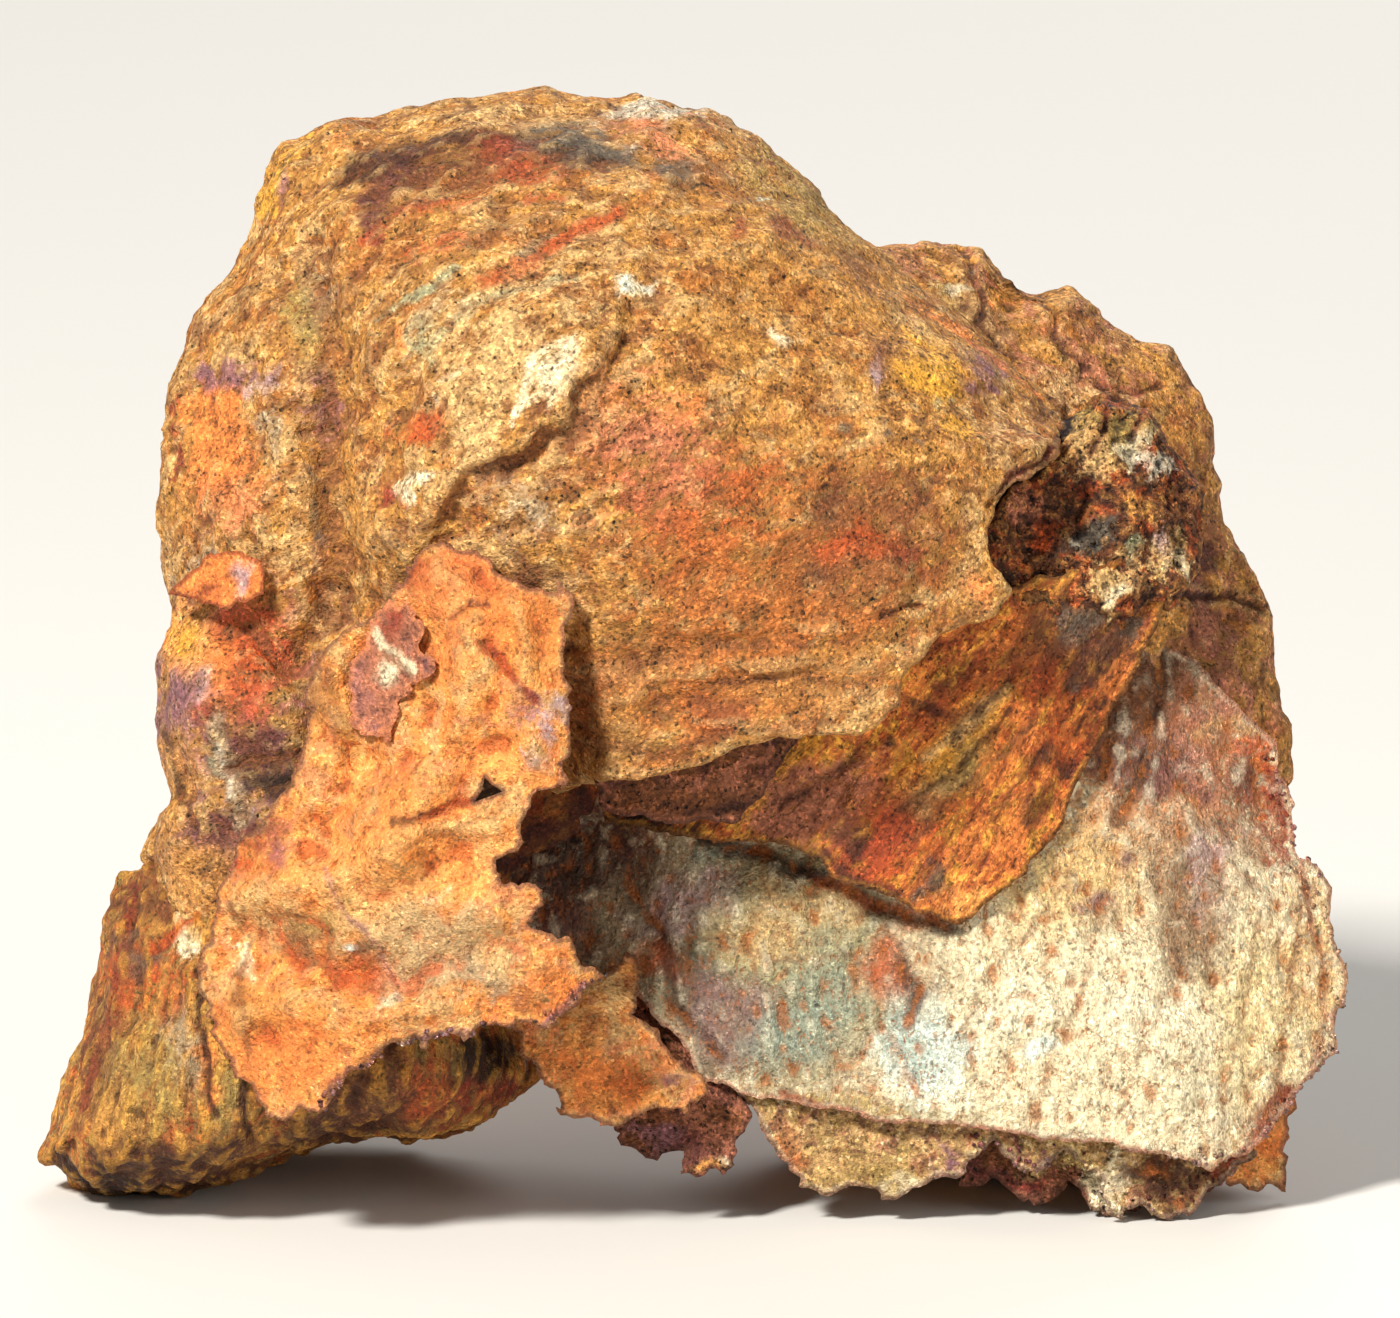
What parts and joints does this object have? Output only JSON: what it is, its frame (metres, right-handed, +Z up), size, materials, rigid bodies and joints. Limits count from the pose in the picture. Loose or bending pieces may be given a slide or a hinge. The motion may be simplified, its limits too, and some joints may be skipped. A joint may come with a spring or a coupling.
{
  "type": "native copper specimen",
  "caption": "Standing mass of crumpled native copper leaves with an ochre crust, thin torn rims and a pocket in front, resting on small flat spots.",
  "frame": {"origin": "on the ground, in the middle of the mass's width and depth", "axes": "+X to the right along the show face, +Y from the show face to the back, +Z up"},
  "size_m": [0.1308, 0.0736, 0.1092],
  "materials": {
    "crusted_copper": "sandy ochre crust over copper, tarnished red to violet, with bright metal where it is thin"
  },
  "bodies": {
    "root": {"native_copper": "crusted_copper"}
  },
  "joints": []
}
